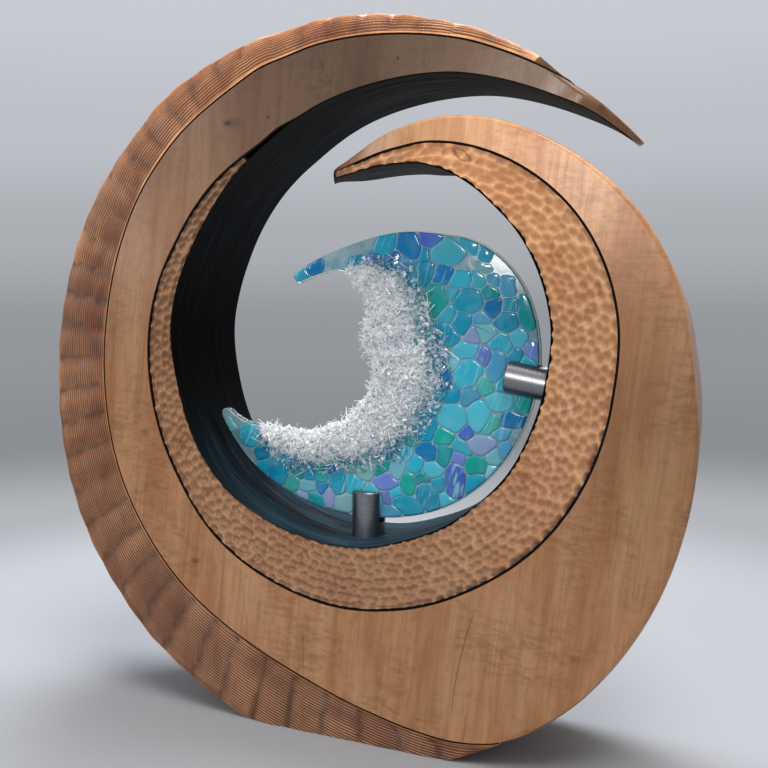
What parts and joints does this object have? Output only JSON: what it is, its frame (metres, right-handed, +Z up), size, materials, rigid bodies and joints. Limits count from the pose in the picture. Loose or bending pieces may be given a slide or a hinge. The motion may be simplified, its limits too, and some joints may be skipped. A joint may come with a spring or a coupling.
{
  "type": "rippled wood wave sculpture",
  "caption": "Free-standing carved wood wave with a ribbed rim, a dimpled inner ring and a dark bore, which holds a fused glass crescent in slotted metal clamps.",
  "frame": {"origin": "on the table, below the middle of the sculpture's box", "axes": "+Z up, +Y from the front face to the back face, +X along the length, towards the side where the outer arm ends"},
  "size_m": [0.4898, 0.1, 0.5116],
  "materials": {
    "oiled_maple": "hand-rubbed oil, satin",
    "ribbed_wood": "carved grooves, oiled and darkened",
    "carved_maple": "gouge dimples, oiled",
    "stained_veneer": "blue-black stain, satin",
    "black_veneer": "dyed black, satin",
    "clear_glass": "fused and fire-polished",
    "mosaic_glass": "fused pieces, fire-polished",
    "crushed_glass": "crushed shards, fused",
    "brushed_aluminium": "brushed",
    "plated_steel": "zinc plated",
    "black_rubber": "matte"
  },
  "bodies": {
    "root": {"smooth_face_body": "oiled_maple", "ribbed_outer_rim": "ribbed_wood", "dimpled_inner_ring": "carved_maple", "dark_bore_liner": "stained_veneer", "inner_black_line": "black_veneer", "outer_black_line": "black_veneer", "clear_base_glass": "clear_glass", "mosaic_glass_layer": "mosaic_glass", "crushed_glass_crest": "crushed_glass", "lower_clamp_bar": "brushed_aluminium", "lower_clamp_stud": "plated_steel", "lower_clamp_front_pad": "black_rubber", "lower_clamp_rear_pad": "black_rubber", "lower_clamp_grub_screw": "plated_steel", "side_clamp_bar": "brushed_aluminium", "side_clamp_stud": "plated_steel", "side_clamp_front_pad": "black_rubber", "side_clamp_rear_pad": "black_rubber", "side_clamp_grub_screw": "plated_steel"}
  },
  "joints": []
}
